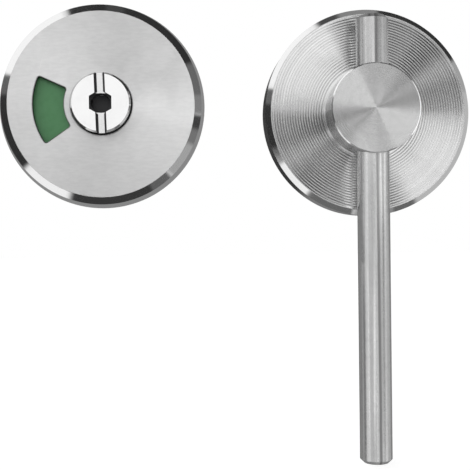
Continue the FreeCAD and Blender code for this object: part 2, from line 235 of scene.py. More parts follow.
class Effects:
    """The shader groups that the finishes share, each built once."""

    def __init__(self) -> None:
        """Builds the groups."""
        self.lays = {Lay.TURNED: self._rings(), Lay.DRAWN: self._lines(), Lay.PLAIN: self._grain()}
        self.smears = self._smears()
        self.wear = self._wear()
        self.streaks = self._streaks()

    @staticmethod
    def _rings() -> bpy.types.NodeTree:
        """Rings of a turning tool about the Y axis, in a vector centred on it.

        Returns:
            The group.
        """
        inputs = {"Vector": None, "Per mm": 12.0, "Waver": 0.02}
        g = Group("turning_rings", inputs, ("Height", "Tone", "Radius"))
        x, _, z = g.split(g.given["Vector"])
        radius = g.vector("LENGTH", g.join(x, 0.0, z))
        waver = g.noise(g.given["Vector"], 60.0, 1.0)
        place = g.math("MULTIPLY", g.math("MULTIPLY", radius, PER_METRE), g.given["Per mm"])
        place = g.math("ADD", place, g.math("MULTIPLY", waver, g.given["Waver"]))
        fine = g.noise(place, space="1D", Roughness=0.6)
        broad = g.noise(g.math("MULTIPLY", place, BROAD_SHARE), detail=1.0, space="1D")
        return g.finish({"Height": fine, "Tone": broad, "Radius": radius})

    @staticmethod
    def _lines() -> bpy.types.NodeTree:
        """Long fine lines of a drawn bar along Z, with a painted dark reflection band along it.

        Returns:
            The group.
        """
        inputs = {"Vector": None, "Per mm": 9.0, "Length": 0.02}
        g = Group("drawn_lines", inputs, ("Height", "Tone", "Die line"))
        x, y, z = g.split(g.given["Vector"])
        angle = g.math("ARCTAN2", x, g.math("MULTIPLY", y, -1.0))
        across = g.math("MULTIPLY", g.math("MULTIPLY", angle, BAR_RADIUS), g.given["Per mm"])
        along = g.math("MULTIPLY", g.math("MULTIPLY", z, PER_METRE), g.given["Length"])
        fine = g.noise(g.join(across, along), space="2D")
        wide = g.join(g.math("MULTIPLY", across, BROAD_SHARE), g.math("MULTIPLY", along, 3.0))
        broad = g.noise(wide, space="2D")
        waver = g.noise(g.math("MULTIPLY", z, 120.0), space="1D")
        # A painted dark reflection band along the bar, with a fainter painted band beside it
        bent = g.math("MULTIPLY_ADD", waver, PAINTED_BAND_WAVER, angle)
        middle = g.math("MULTIPLY_ADD", z, PAINTED_BAND_LEAN, PAINTED_BAND_MIDDLE)
        core = g.fade(g.math("ABSOLUTE", g.math("SUBTRACT", bent, middle)), PAINTED_BAND_CORE)
        beside = g.math("MULTIPLY", g.fade(bent, PAINTED_BAND_START), g.fade(bent, PAINTED_BAND_BESIDE))
        line = g.math("MAXIMUM", core, g.math("MULTIPLY", beside, PAINTED_BAND_BESIDE_SHARE))
        return g.finish({"Height": fine, "Tone": broad, "Die line": line})

    @staticmethod
    def _grain() -> bpy.types.NodeTree:
        """Fine grain without direction, as on castings, plating and moulded plastic.

        Returns:
            The group.
        """
        g = Group("fine_grain", {"Vector": None, "Per mm": 4.0}, ("Height", "Tone"))
        scale = g.math("MULTIPLY", g.given["Per mm"], PER_METRE)
        place = g.vector("MULTIPLY", g.given["Vector"], scale)
        fine = g.noise(place, detail=3.0, Roughness=0.55)
        return g.finish({"Height": fine, "Tone": g.noise(place, 0.06)})

    @staticmethod
    def _smears() -> bpy.types.NodeTree:
        """Faint smears of handling, several millimetres wide.

        Returns:
            The group.
        """
        g = Group("handling_smears", {"Vector": None, "Amount": 0.1}, ("Smear",))
        bent = g.noise(g.given["Vector"], 90.0, 3.0, Distortion=1.4)
        return g.finish({"Smear": g.math("MULTIPLY", g.ramp(bent, 0.38, 0.72), g.given["Amount"])})

    @staticmethod
    def _wear() -> bpy.types.NodeTree:
        """Brighter rubbed edges, found from the surface's own sharpness.

        Returns:
            The group.
        """
        g = Group("edge_wear", {"Vector": None, "Amount": 0.3}, ("Wear",))
        sharp = g.ramp(g.add("ShaderNodeNewGeometry").outputs["Pointiness"], 0.505, 0.56)
        patch = g.ramp(g.noise(g.given["Vector"], 700.0), 0.3, 0.6)
        worn = g.math("MULTIPLY", sharp, patch)
        return g.finish({"Wear": g.math("MULTIPLY", worn, g.given["Amount"])})

    @staticmethod
    def _streaks() -> bpy.types.NodeTree:
        """Faint level streaks of a satin brush, two millimetres long.

        Returns:
            The group.
        """
        g = Group("satin_streaks", {"Vector": None, "Amount": 0.1}, ("Streak",))
        place = g.vector("MULTIPLY", g.given["Vector"], (450.0, 450.0, 1500.0))
        fine = g.ramp(g.noise(place, detail=3.0, Roughness=0.6), 0.32, 0.68)
        return g.finish({"Streak": g.math("MULTIPLY", fine, g.given["Amount"])})


def shaded(colour: Colour, share: float, lift: float = 0.0) -> Colour:
    """A colour that is made darker or lighter."""
    return tuple(min(1.0, value * share + lift) for value in colour)


@dataclass(frozen=True)
class Finish:
    """A surface: its colour, gloss, tool marks and wear.

    Attributes:
        name: The material's name.
        slot: The record's material slot, which is not used.
        colour: The base colour.
        metallic: 1 on metal and 0 on plastic.
        roughness: The roughness at its middle.
        lay: Which way the tool's marks run.
        axis: A point on the line that the marks run about.
        marks: The bump distance of the marks in metres.
        per_mm: How close the marks are.
        tone: How far the marks darken or lighten the colour.
        spread: How far the roughness varies.
        stretch: The anisotropy of the reflection.
        smears: How strong the traces of handling are.
        streaks: How strong the streaks of a satin brush are.
        wear: How strong the rubbed edges are.
        rim: The radius in metres from which the surface is polished, or 0.
        rim_roughness: The roughness of the polished part.
        rim_colour: Its colour.
        painted_band_share: How much colour a drawn bar keeps in its painted dark reflection band.
        recess: The colour painted where the mesh's attribute of that name marks, or None; it is painted
            shade on the dark pieces and a painted highlight on the hub's rim.
        painted_light_roughness: What is added to the roughness there.
    """

    name: str
    slot: str
    colour: Colour
    metallic: float = 1.0
    roughness: float = 0.3
    lay: Lay = Lay.PLAIN
    axis: Place = (0.0, 0.0, 0.0)
    marks: float = 1e-5
    per_mm: float = 4.0
    tone: float = 0.08
    spread: float = 0.06
    stretch: float = 0.0
    smears: float = 0.04
    streaks: float = 0.0
    wear: float = 0.15
    rim: float = 0.0
    rim_roughness: float = 0.1
    rim_colour: Colour = (0.9, 0.9, 0.9)
    painted_band_share: float = 0.5
    recess: Colour | None = None
    painted_light_roughness: float = 0.35

    def material(self, effects: Effects) -> bpy.types.Material:
        """Builds the material.

        Args:
            effects: The shared shader groups.

        Returns:
            The material.
        """
        made = bpy.data.materials.new(self.name)
        made.use_nodes = True
        g = Graph(made.node_tree)
        output = g.add("ShaderNodeOutputMaterial")
        place = g.add("ShaderNodeTexCoord").outputs["Object"]
        if any(self.axis):
            place = g.vector("SUBTRACT", place, self.axis)
        inputs = {"Vector": place, "Per mm": self.per_mm}
        marks = g.add("ShaderNodeGroup", inputs, node_tree=effects.lays[self.lay]).outputs
        smear = self._effect(g, effects.smears, place, self.smears)
        colour = self._worked_colour(g, effects, place, marks, smear)
        low, high = self.roughness - self.spread, self.roughness + self.spread
        rough = g.ramp(marks["Height"], *MARKS_SPAN, low, high)
        rough = g.math("ADD", rough, g.math("MULTIPLY", smear, SMEAR_ROUGHNESS))
        height = marks["Height"]
        if self.rim:
            polished = g.ramp(marks["Radius"], self.rim - RIM_BLEND, self.rim + RIM_BLEND)
            change = g.math("SUBTRACT", self.rim_roughness, rough)
            rough = g.math("MULTIPLY_ADD", polished, change, rough)
            colour = g.blend(polished, colour, self.rim_colour)
            height = g.math("MULTIPLY", height, g.math("SUBTRACT", 1.0, polished))
        # Painted light from the mesh's attribute: painted shade in hollows, on walls and edges, and a
        # painted highlight on the hub's rim
        if self.recess:
            deep = g.add("ShaderNodeAttribute", attribute_name="recess").outputs["Fac"]
            colour = g.blend(deep, colour, self.recess)
            rough = g.math("MULTIPLY_ADD", deep, self.painted_light_roughness, rough)
        bump = g.add("ShaderNodeBump", {"Strength": 1.0, "Distance": self.marks, "Height": height})
        looks = {"Base Color": colour, "Roughness": rough, "Normal": bump.outputs[0]}
        shader = g.add("ShaderNodeBsdfPrincipled", {**looks, "Metallic": self.metallic})
        if self.stretch:
            turned = self.lay is Lay.TURNED
            about = "Y" if turned else "Z"
            tangent = g.add("ShaderNodeTangent", direction_type="RADIAL", axis=about).outputs[0]
            g.feed(shader, {
                "Anisotropic": self.stretch,
                "Anisotropic Rotation": QUARTER_TURN if turned else 0.0,
                "Tangent": tangent,
            })
        g.feed(output, {0: shader.outputs[0]})
        return made

    def _worked_colour(
        self, g: Graph, effects: Effects, place: Socket, marks: bpy.types.NodeOutputs, smear: Socket
    ) -> Socket:
        """The colour with its tool marks, rubbed edges, smears, streaks and, on the bar, its painted dark
        reflection band.

        Args:
            g: The material's graph.
            effects: The shared shader groups.
            place: The coordinates.
            marks: The outputs of the tool marks.
            smear: Where traces of handling lie.

        Returns:
            The colour's socket.
        """
        deep, high = shaded(self.colour, 1 - self.tone), shaded(self.colour, 1 + self.tone)
        colour = g.blend(marks["Tone"], deep, high)
        worn = self._effect(g, effects.wear, place, self.wear)
        colour = g.blend(worn, colour, shaded(self.colour, WORN_GAIN, WORN_LIFT))
        colour = g.blend(smear, colour, shaded(self.colour, SMEAR_SHADE))
        if self.streaks:
            streak = self._effect(g, effects.streaks, place, self.streaks)
            colour = g.blend(streak, colour, shaded(self.colour, STREAK_SHADE))
        # Painted dark reflection band along the bar
        if self.lay is Lay.DRAWN:
            colour = g.blend(marks["Die line"], colour, shaded(self.colour, self.painted_band_share))
        return colour

    def _effect(self, g: Graph, tree: bpy.types.NodeTree, place: Socket, amount: float) -> Socket:
        """Places a shared group with an amount, and returns its output."""
        inputs = {"Vector": place, "Amount": amount}
        return g.add("ShaderNodeGroup", inputs, node_tree=tree).outputs[0]


def placed(name: str, data: bpy.types.ID) -> bpy.types.Object:
    """A new object in the scene."""
    thing = bpy.data.objects.new(name, data)
    bpy.context.scene.collection.objects.link(thing)
    return thing


class Workshop:
    """Makes the finishes once, and gives pieces and nodes their materials."""

    def __init__(self, frame: dict) -> None:
        """Keeps the frame and builds the shared groups.
        """
        self.frame = frame
        self.effects = Effects()
        self.made: dict[str, bpy.types.Material] = {}

    def material(self, finish: Finish) -> bpy.types.Material:
        """The finish's material, built the first time.

        Args:
            finish: The finish.

        Returns:
            The material.
        """
        if finish.name not in self.made:
            self.made[finish.name] = finish.material(self.effects)
        return self.made[finish.name]

    def dress(self, node: str, finish: Finish) -> None:
        """Gives a CAD node a finish.

        Args:
            node: The node's name.
            finish: The finish.
        """
        thing = self.frame["nodes"][node]
        for slot in thing.material_slots:
            slot.link = "OBJECT"
            slot.material = self.material(finish)
        if not thing.material_slots:
            thing.data.materials.append(self.material(finish))
        log.info("%s: %s", node, finish.name)

    def piece(
        self, name: str, mesh: bpy.types.Mesh, body: str, finish: Finish, node: str
    ) -> bpy.types.Object:
        """Puts a mesh in the scene as a piece of the object.

        Args:
            name: The piece's name.
            mesh: Its mesh, in the frame's axes.
            body: The body that it rides on.
            finish: Its finish.
            node: The CAD node that it stands for.

        Returns:
            The piece.
        """
        thing = placed(name, mesh)
        mesh.materials.clear()
        mesh.materials.append(self.material(finish))
        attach(thing, body)
        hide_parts(node)
        log.info("%s: %d faces, %s", name, len(mesh.polygons), finish.name)
        return thing

    def smooth_copy(
        self, name: str, node: str, body: str, finish: Finish,
        recess: Callable[[Vector, Vector], float] | None = None,
        shape: Callable[[bmesh.types.BMesh], None] | None = None, angle: float = 20.0,
    ) -> bpy.types.Object:
        """Puts a merged copy of a node in its place, smooth but for its real edges.

        Args:
            name: The piece's name.
            node: The CAD node.
            body: The body that it rides on.
            finish: Its finish.
            recess: Tells how much of the painted colour lies on a face, from its centre and normal.
            shape: Works on the merged mesh before it is shaded.
            angle: The angle in degrees from which an edge stays sharp.

        Returns:
            The piece.
        """
        mesh = self.frame["nodes"][node].data.copy()
        mesh.name = name
        work = bmesh.new()
        work.from_mesh(mesh)
        bmesh.ops.remove_doubles(work, verts=work.verts, dist=WELD)
        bmesh.ops.dissolve_limit(work, angle_limit=SOFT_NORMALS, verts=work.verts, edges=work.edges)
        if shape:
            shape(work)
        sharpen(work, angle)
        work.to_mesh(mesh)
        work.free()
        # Each face corner holds the share of the painted colour that it takes
        if recess:
            marks = mesh.attributes.new("recess", "FLOAT", "CORNER").data
            for face in mesh.polygons:
                for corner in face.loop_indices:
                    marks[corner].value = recess(face.center, face.normal)
        return self.piece(name, mesh, body, finish, node)


def sharpen(work: bmesh.types.BMesh, angle: float) -> None:
    """Shades a mesh smooth, with sharp edges from an angle up.

    Args:
        work: The mesh.
        angle: The angle in degrees.
    """
    limit = math.radians(angle)
    for edge in work.edges:
        edge.smooth = edge.is_manifold and edge.calc_face_angle(math.pi) < limit
    for face in work.faces:
        face.smooth = True


def turning_tree() -> bpy.types.NodeTree:
    """Geometry Nodes that turn a profile about the Y axis.

    Returns:
        The tree, whose inputs are the profile and the segments.
    """
    tree = bpy.data.node_groups.new("turned_ring_body", "GeometryNodeTree")
    sockets = tree.interface
    sockets.new_socket("Profile", in_out="INPUT", socket_type="NodeSocketGeometry")
    sockets.new_socket("Segments", in_out="INPUT", socket_type="NodeSocketInt")
    sockets.new_socket("Turned", in_out="OUTPUT", socket_type="NodeSocketGeometry")
    g = Graph(tree)
    given = g.add("NodeGroupInput").outputs
    end = g.add("NodeGroupOutput")
    size = g.add("GeometryNodeAttributeDomainSize", {0: given["Profile"]})
    points = size.outputs["Point Count"]
    columns = g.math("ADD", given["Segments"], 1.0)
    grid = g.add("GeometryNodeMeshGrid", {"Vertices X": columns, "Vertices Y": points}).outputs[0]
    index = g.add("GeometryNodeInputIndex").outputs[0]
    column = g.math("FLOOR", g.math("DIVIDE", g.math("ADD", index, 0.5), points))
    row = g.math("SUBTRACT", index, g.math("MULTIPLY", column, points))
    sample = g.add("GeometryNodeSampleIndex", data_type="FLOAT_VECTOR", domain="POINT")
    value = next(socket for socket in sample.inputs if socket.name == "Value" and socket.enabled)
    g.tree.links.new(g.add("GeometryNodeInputPosition").outputs[0], value)
    g.feed(sample, {"Geometry": given["Profile"], "Index": row})
    radius, depth, _ = g.split(next(socket for socket in sample.outputs if socket.enabled))
    angle = g.math("DIVIDE", g.math("MULTIPLY", column, math.tau), given["Segments"])
    across = g.math("MULTIPLY", radius, g.math("COSINE", angle))
    above = g.math("MULTIPLY", radius, g.math("SINE", angle))
    spot = g.join(across, depth, above)
    shaped = g.add("GeometryNodeSetPosition", {"Geometry": grid, "Position": spot}).outputs[0]
    welded = g.add("GeometryNodeMergeByDistance", {"Geometry": shaped, "Distance": WELD})
    g.feed(end, {0: welded.outputs[0]})
    return tree


@dataclass
class Lathe:
    """Turns closed profiles into meshes with the Geometry Nodes tree.

    Attributes:
        tree: The tree.
        segments: How many faces go round.
        angle: The angle in degrees from which an edge is sharp.
    """

    tree: bpy.types.NodeTree = field(default_factory=turning_tree)
    segments: int = 256
    angle: float = 24.0

    def turn(self, name: str, profile: list[tuple[float, float]]) -> bpy.types.Mesh:
        """Turns a closed profile about the Y axis.

        Args:
            name: The mesh's name.
            profile: Its (radius, depth) corners in millimetres, first and last the same.

        Returns:
            The mesh.
        """
        line = bpy.data.meshes.new(name + "_profile")
        spots = [(radius * MM, -depth * MM, 0.0) for radius, depth in profile]
        line.from_pydata(spots, [(k, k + 1) for k in range(len(spots) - 1)], [])
        holder = placed(name + "_profile", line)
        modifier = holder.modifiers.new("turn", "NODES")
        modifier.node_group = self.tree
        items = self.tree.interface.items_tree
        names = {item.name: item.identifier for item in items if item.in_out == "INPUT"}
        modifier[names["Segments"]] = self.segments
        bpy.context.view_layer.update()
        depsgraph = bpy.context.evaluated_depsgraph_get()
        mesh = bpy.data.meshes.new_from_object(holder.evaluated_get(depsgraph))
        mesh.name = name
        bpy.data.objects.remove(holder)
        bpy.data.meshes.remove(line)
        work = bmesh.new()
        work.from_mesh(mesh)
        if work.calc_volume(signed=True) < 0:
            bmesh.ops.reverse_faces(work, faces=work.faces)
        sharpen(work, self.angle)
        work.to_mesh(mesh)
        work.free()
        return mesh


STEEL: Colour = (0.70, 0.70, 0.70)
# Near white, painted on the hub's chamfered rim as a highlight line
PAINTED_HIGHLIGHT: Colour = (0.98, 0.98, 0.98)

# The finishes whose marks have no direction, by a short name
PLAIN: dict[str, Finish] = {
    "plate": Finish(
        "cast_base", "cast_plate", (0.50, 0.51, 0.52), roughness=0.5, marks=3e-5, per_mm=3.0,
        tone=0.1,
    ),
    "bush": Finish(
        "natural_bush", "bush_plastic", (0.80, 0.78, 0.72), metallic=0.0, roughness=0.5,
        per_mm=5.0, tone=0.05,
    ),
    "plated": Finish(
        "zinc_plated", "plated_steel", (0.62, 0.63, 0.66), roughness=0.36, marks=1.2e-5,
        per_mm=6.0, tone=0.12,
    ),
    "spring": Finish(
        "oiled_spring", "spring_steel", (0.16, 0.16, 0.17), roughness=0.34, marks=8e-6,
        per_mm=6.0, tone=0.15,
    ),
    "screw": Finish(
        "black_screw", "dark_screw_steel", (0.06, 0.06, 0.065), roughness=0.42, per_mm=7.0,
        tone=0.2,
    ),
    "disc": Finish(
        "black_disc", "disc_plastic", (0.05, 0.05, 0.052), metallic=0.0, roughness=0.5,
        per_mm=5.0, tone=0.1,
    ),
    "green": Finish(
        "green_print", "green_film", (0.155, 0.46, 0.195), metallic=0.0, roughness=0.35,
        marks=4e-6,
    ),
    "red": Finish(
        "red_print", "red_film", (0.45, 0.02, 0.02), metallic=0.0, roughness=0.35, marks=4e-6
    ),
}


@dataclass
class InsideHalf:
    """The turn: its ringed rose, hub, bar lever and what is behind them.

    Attributes:
        shop: The workshop.
        lathe: The lathe.
        rose_radius: The rose's radius in millimetres.
        rose_depth: Its depth.
        chamfer: Width and depth of its chamfer.
        plate: The thickness of the cover's face.
        wall: The thickness of its side.
        hole: The radius of the hole for the neck.
        ring_count: How many rings are turned into the face.
        ring_pitch: The distance from one ring to the next.
        ring_depth: How deep they are.
        ring_steps: How many facets a ring has across.
        ring_edge: The flat margin outside the outermost ring.
        hub_rim: The radius outside which the hub's rim lies.
        rose_finish: The rose's finish.
        hub_finish: The hub's.
        lever_finish: The lever's.
    """

    shop: Workshop
    lathe: Lathe
    rose_radius: float = 26.0
    rose_depth: float = 8.0
    chamfer: tuple[float, float] = (1.3, 1.1)
    plate: float = 1.4
    wall: float = 1.2
    hole: float = 7.5
    ring_count: int = 20
    ring_pitch: float = 0.65
    ring_depth: float = 0.075
    ring_steps: int = 8
    ring_edge: float = 0.3
    hub_rim: float = 10.65
    rose_finish: Finish = Finish(
        "ringed_steel", "grooved_steel", STEEL, roughness=0.2, lay=Lay.TURNED, marks=1.8e-6,
        per_mm=7.0, tone=0.05, spread=0.04, stretch=0.85, rim=0.02475,
    )
    # The hub's chamfered rim is glossier, and made near white as a painted highlight
    hub_finish: Finish = Finish(
        "faced_steel", "satin_steel", STEEL, roughness=0.24, lay=Lay.TURNED, marks=1e-6,
        per_mm=9.0, tone=0.015, spread=0.02, stretch=1.0, recess=PAINTED_HIGHLIGHT, painted_light_roughness=-0.1,
    )
    lever_finish: Finish = Finish(
        "drawn_steel_bar", "drawn_steel", (0.74, 0.74, 0.74), roughness=0.2, lay=Lay.DRAWN,
        axis=(0.0, -0.0127, 0.0), marks=3e-6, per_mm=5.0, tone=0.12, stretch=0.5,
    )

    def rose_profile(self) -> list[tuple[float, float]]:
        """The cover's closed profile with its rings cut into the face.

        Returns:
            The (radius, depth) corners in millimetres.
        """
        face = self.rose_radius - self.chamfer[0]
        inside = self.rose_depth - self.plate
        profile = [(self.rose_radius, 0.0), (self.rose_radius, self.rose_depth - self.chamfer[1])]
        profile.append((face, self.rose_depth))
        outer = face - self.ring_edge
        for ring in range(self.ring_count):
            start = outer - ring * self.ring_pitch
            for step in range(self.ring_steps):
                share = step / self.ring_steps
                depth = self.ring_depth * (1 - (2 * share - 1) ** 2)
                profile.append((start - share * self.ring_pitch, self.rose_depth - depth))
        profile.append((outer - self.ring_count * self.ring_pitch, self.rose_depth))
        back = self.rose_radius - self.wall
        profile += [(self.hole, self.rose_depth), (self.hole, inside)]
        profile += [(back, inside), (back, 0.0), (self.rose_radius, 0.0)]
        return profile

    def rim_of_hub(self, centre: Vector, normal: Vector) -> float:
        """1 on the chamfer of the hub's front edge, where a highlight is painted, and 0 on its other
        faces.
        """
        outside = math.hypot(centre.x, centre.z) / MM > self.hub_rim
        return float(outside and NEARLY_LEVEL < normal.y < -0.5)

    def build(self) -> None:
        """Builds and dresses the half."""
        shop = self.shop
        mesh = self.lathe.turn("ringed_rose", self.rose_profile())
        shop.piece("ringed_rose", mesh, "roses", self.rose_finish, "turn_rose_cover")
        shop.smooth_copy("turned_hub", "turn_hub", "turn", self.hub_finish, self.rim_of_hub)
        shop.smooth_copy("bar_lever", "turn_lever", "turn", self.lever_finish)
        for node, finish in {
            "turn_base_plate": "plate",
            "turn_bush": "bush",
            "lever_screw": "screw",
            "spindle": "plated",
            "spindle_pin": "plated",
            "turn_spring_washer": "spring",
            "turn_circlip": "spring",
        }.items():
            shop.dress(node, PLAIN[finish])


@dataclass
class OutsideHalf:
    """The release: its bevelled rose with the window, the boss and the indicator.

    Attributes:
        shop: The workshop.
        axis: A point on its axis, in metres.
        boss_radius: The boss's radius in millimetres.
        boss_depth: How far its face stands from the door.
        boss_edge: How wide the edge of its face is that takes no painted shade.
        hexagon_reach: The radius that the hexagon's corners reach.
        bore_reach: How far the bore's painted shade reaches up and down.
        cover_inside: The depth at which the cover's face starts.
        cover_depth: The depth of its front.
        window_reach: The radius that the window reaches.
        hole_reach: The radius that the hole's rounded edge reaches.
        pressed_edge: How far the openings' edges are rounded.
        slack: How near a depth counts as the same.
    """

    shop: Workshop
    axis: Place = (-0.067, 0.0, 0.0027)
    boss_radius: float = 7.5
    boss_depth: float = 8.3
    boss_edge: float = 0.5
    hexagon_reach: float = 3.2
    bore_reach: float = 2.4
    cover_inside: float = 3.7
    cover_depth: float = 5.0
    window_reach: float = 17.5
    hole_reach: float = 8.5
    pressed_edge: float = 0.28
    slack: float = 0.01

    def finishes(self) -> tuple[Finish, Finish]:
        """The finishes of the rose and the boss, whose marks run about this half's axis.

        Returns:
            The two finishes.
        """
        # Both finishes end in a dark colour for painted shade: on the walls and rounded edges of the
        # window and the hole, and in the boss's bore and slot
        rose = Finish(
            "satin_rose", "satin_steel", STEEL, roughness=0.388, lay=Lay.TURNED, axis=self.axis,
            marks=2e-6, per_mm=6.0, tone=0.02, spread=0.03, stretch=0.75, rim=0.02335,
            rim_roughness=0.08, smears=0.05, streaks=0.1, recess=(0.03, 0.035, 0.032),
        )
        boss = Finish(
            "polished_boss", "polished_steel", (0.95, 0.95, 0.95), roughness=0.09,
            axis=self.axis, marks=0.0, per_mm=2.0, tone=0.02, spread=0.02, wear=0.05,
            recess=(0.07, 0.07, 0.072),
        )
        return rose, boss

    def radius_of(self, spot: Vector) -> float:
        """How far a spot lies from the axis, in millimetres."""
        return math.hypot(spot.x - self.axis[0], spot.z - self.axis[2]) / MM

    def painted_shade_in_boss(self, centre: Vector, normal: Vector) -> float:
        """Tells how much painted shade lies on a face of the boss: shade in the bore and on the slot's
        floor, and a painted dark reflection on the slot's sides.

        Args:
            centre: The face's centre.
            normal: Its normal.

        Returns:
            1 in the slot's sides and the bore, less on the slot's floor, and 0 outside.
        """
        radius = self.radius_of(centre)
        depth = -centre.y / MM
        outside = radius > self.boss_radius - self.boss_edge
        if outside or depth > self.boss_depth - self.slack or depth < 0:
            return 0.0
        aside = abs(centre.z - self.axis[2]) / MM
        level = normal.y < NEARLY_LEVEL
        # Painted shade in the bore, a little less on its faces turned down
        if radius < self.hexagon_reach and (aside < self.bore_reach or not level):
            return LIT_BORE_SHADE if normal.z < -0.4 else BORE_SHADE
        # Painted dark reflection on the slot's sides, little painted shade on its floor
        return SLOT_FLOOR_SHADE if level else SLOT_SIDE_SHADE

    def shade_in_window(self, centre: Vector, normal: Vector) -> float:
        """Tells how much painted shade lies on the walls and rounded edges of the window and the hole.

        Args:
            centre: A face's centre.
            normal: Its normal.

        Returns:
            1 on the walls of the window, less on those of the hole, and 0 elsewhere.
        """
        radius = self.radius_of(centre)
        behind = -centre.y / MM < self.cover_inside
        if radius > self.window_reach or behind or normal.y < LEVEL:
            return 0.0
        # Painted shade, strongest on the walls that face sideways
        shade = max(0.0, min(1.0, WALL_SHADE + normal.y))
        return shade * (HOLE_SHARE if radius < self.hole_reach else 1.0)

    def part_level_faces(self, work: bmesh.types.BMesh) -> None:
        """Parts the level faces above and below the bore, so that its shade ends there.

        Args:
            work: The boss's mesh.
        """
        for side in (-1, 1):
            level = [face for face in work.faces if face.normal.y < LEVEL]
            edges = {edge for face in level for edge in face.edges}
            verts = {vert for face in level for vert in face.verts}
            spot = (0.0, 0.0, self.axis[2] + side * self.bore_reach * MM)
            bmesh.ops.bisect_plane(
                work, geom=level + list(edges) + list(verts), dist=WELD, plane_co=spot,
                plane_no=(0.0, 0.0, 1.0),
            )

    def round_openings(self, work: bmesh.types.BMesh) -> None:
        """Rounds the pressed edges of the window and the hole.

        Args:
            work: The cover's mesh.
        """
        work.normal_update()
        found = []
        for edge in work.edges:
            radius = self.radius_of((edge.verts[0].co + edge.verts[1].co) / 2)
            depth = min(-vert.co.y for vert in edge.verts) / MM
            if depth > self.cover_depth - self.slack and radius < self.window_reach:
                if edge.is_manifold and edge.calc_face_angle(0.0) > 1.0:
                    found.append(edge)
        offset = self.pressed_edge * MM
        bmesh.ops.bevel(work, geom=found, offset=offset, segments=3, profile=0.5, affect="EDGES")
        work.normal_update()

    def build(self) -> None:
        """Builds and dresses the half."""
        shop = self.shop
        rose, boss = self.finishes()
        shop.smooth_copy(
            "bevelled_rose", "release_rose_cover", "roses", rose, self.shade_in_window,
            self.round_openings, 12.0,
        )
        shop.smooth_copy(
            "release_head", "release_boss", "release", boss, self.painted_shade_in_boss,
            self.part_level_faces,
        )
        for node, finish in {
            "release_base_plate": "plate",
            "release_bush": "bush",
            "indicator_disc": "disc",
            "green_field": "green",
            "red_field": "red",
            "release_spring_washer": "spring",
            "release_circlip": "spring",
            "fixing_posts": "plated",
        }.items():
            shop.dress(node, PLAIN[finish])


class Toward(Enum):
    """The directions in which the flat faces mirror the studio, as X, Y and Z."""

    TURN = (0.208, -0.9706, 0.121)
    RELEASE = (-0.08, -0.9883, 0.13)


TURN, RELEASE = Toward.TURN, Toward.RELEASE


@dataclass(frozen=True)
class Sector:
    """A lit or dark sector of the studio about a direction.

    Attributes:
        about: The direction.
        start: The angle in degrees where it starts, counted from the right and up.
        end: Where it ends.
        near: The angle from the direction where it starts, or 0.
        far: Where it ends.
        light: Its brightness.
        soft: How soft its sides are in degrees.
    """

    about: Toward
    start: float
    end: float
    near: float
    far: float
    light: float
    soft: float = 4.0


@dataclass(frozen=True)
class Card:
    """An upright card in the studio, by azimuth and elevation in degrees.

    Attributes:
        left: Where it starts, from the front and to the right.
        right: Where it ends.
        low: Its lower edge.
        high: Its upper edge.
        light: Its brightness.
        soft: How soft its edges are.
    """

    left: float
    right: float
    low: float
    high: float
    light: float
    soft: float = 3.0


@dataclass(frozen=True)
class Panel:
    """A soft light panel that only some pieces reflect.

    Attributes:
        pieces: Their names.
        place: The panel's centre.
        size: Its width and height.
        light: Its brightness.
        facing: The direction that it faces.
        lean: How far it is turned about that direction, in degrees.
    """

    pieces: tuple[str, ...]
    place: Place
    size: tuple[float, float]
    light: float
    facing: Place
    lean: float = 0.0


def ring(about: Toward, near: float, far: float, *parts: tuple[float, float, float]) -> tuple[Sector, ...]:
    """A ring of sectors about a direction, from the start, end and brightness of each."""
    return tuple(Sector(about, start, end, near, far, light) for start, end, light in parts)


LEVER, HUB, LEFT_ROSE = ("bar_lever",), ("turned_hub",), ("bevelled_rose",)
BACKS = (
    "turn_base_plate", "release_base_plate", "fixing_posts", "spindle", "turn_bush",
    "release_bush", "turned_hub", "release_head",
)
TO_RIGHT, TO_LEFT, TO_DOOR = (1.0, 0.0, 0.0), (-1.0, 0.0, 0.0), (0.0, 1.0, 0.0)


